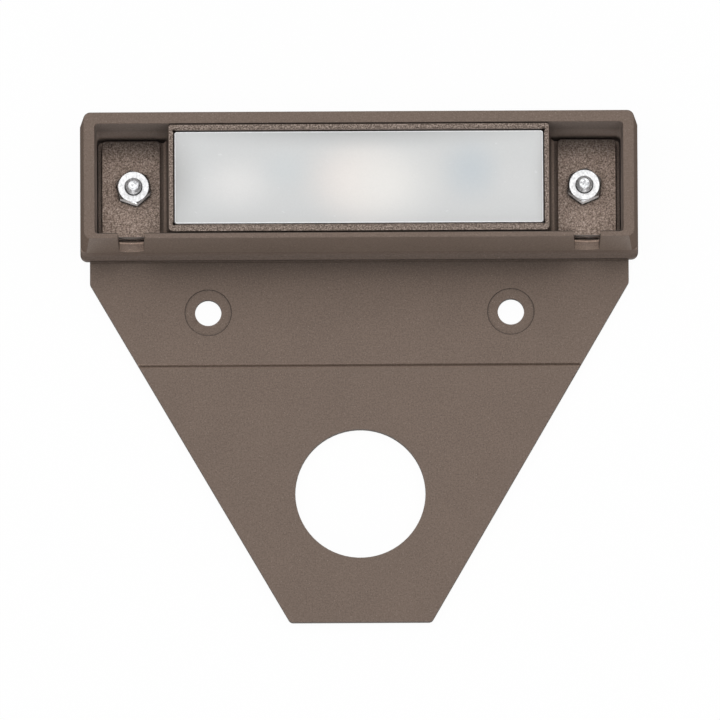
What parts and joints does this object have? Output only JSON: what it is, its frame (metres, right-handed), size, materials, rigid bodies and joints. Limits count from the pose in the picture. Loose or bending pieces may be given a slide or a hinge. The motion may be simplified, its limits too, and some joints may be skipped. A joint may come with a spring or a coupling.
{
  "type": "step light",
  "caption": "Low step light: a shallow cast head with a frosted lens between two nut pockets, on a flat plate that narrows to a tail with one large hole and two screw holes.",
  "frame": {"origin": "midway between the two screw holes, on the mounting face", "axes": "+X along the lens, +Y from the screw holes to the head, +Z out of the lens. Under a tread it is used the other way up, with the mounting face against the tread and the lens facing down"},
  "size_m": [0.127, 0.1156, 0.02],
  "materials": {
    "bronze_paint": "fine metallic bronze paint",
    "bronze_texture": "coarse textured bronze paint",
    "zinc": "bright zinc plate",
    "steel": "bright steel",
    "frosted_glass": "etched",
    "black_rubber": "matte",
    "white_plastic": "satin",
    "board_mask": "white solder mask",
    "led_base": "ceramic",
    "phosphor": "clear coat",
    "black_epoxy": "matte",
    "ferrite": "matte",
    "tan_ceramic": "matte",
    "ivory_plastic": "matte",
    "heat_pad": "matte",
    "aluminium": "as cast"
  },
  "bodies": {
    "light": {"base_plate": "bronze_paint", "head_walls": "bronze_paint", "stud_left": "steel", "stud_right": "steel", "lamp_carrier": "bronze_texture", "lens": "frosted_glass", "lens_gasket": "black_rubber", "reflector_tray": "white_plastic", "led_board": "board_mask", "led_packages": "led_base", "led_domes": "phosphor", "rectifier": "black_epoxy", "regulator": "black_epoxy", "choke": "ferrite", "capacitors": "tan_ceramic", "resistors": "black_epoxy", "lead_header": "ivory_plastic", "thermal_pad": "heat_pad", "board_screws": "steel", "back_cover": "aluminium", "cover_gasket": "black_rubber", "cover_screws": "steel", "cable_grommet": "black_rubber"},
    "left_nut": {"nut_left": "zinc"},
    "right_nut": {"nut_right": "zinc"}
  },
  "joints": [
    {"name": "left_nut_turn", "type": "hinge", "parent": "light", "child": "left_nut", "pos_m": [-0.0513, 0.02776, 0.0086], "axis": [0, 0, 1], "continuous": true},
    {"name": "right_nut_turn", "type": "hinge", "parent": "light", "child": "right_nut", "pos_m": [0.0513, 0.02776, 0.0086], "axis": [0, 0, 1], "continuous": true}
  ]
}
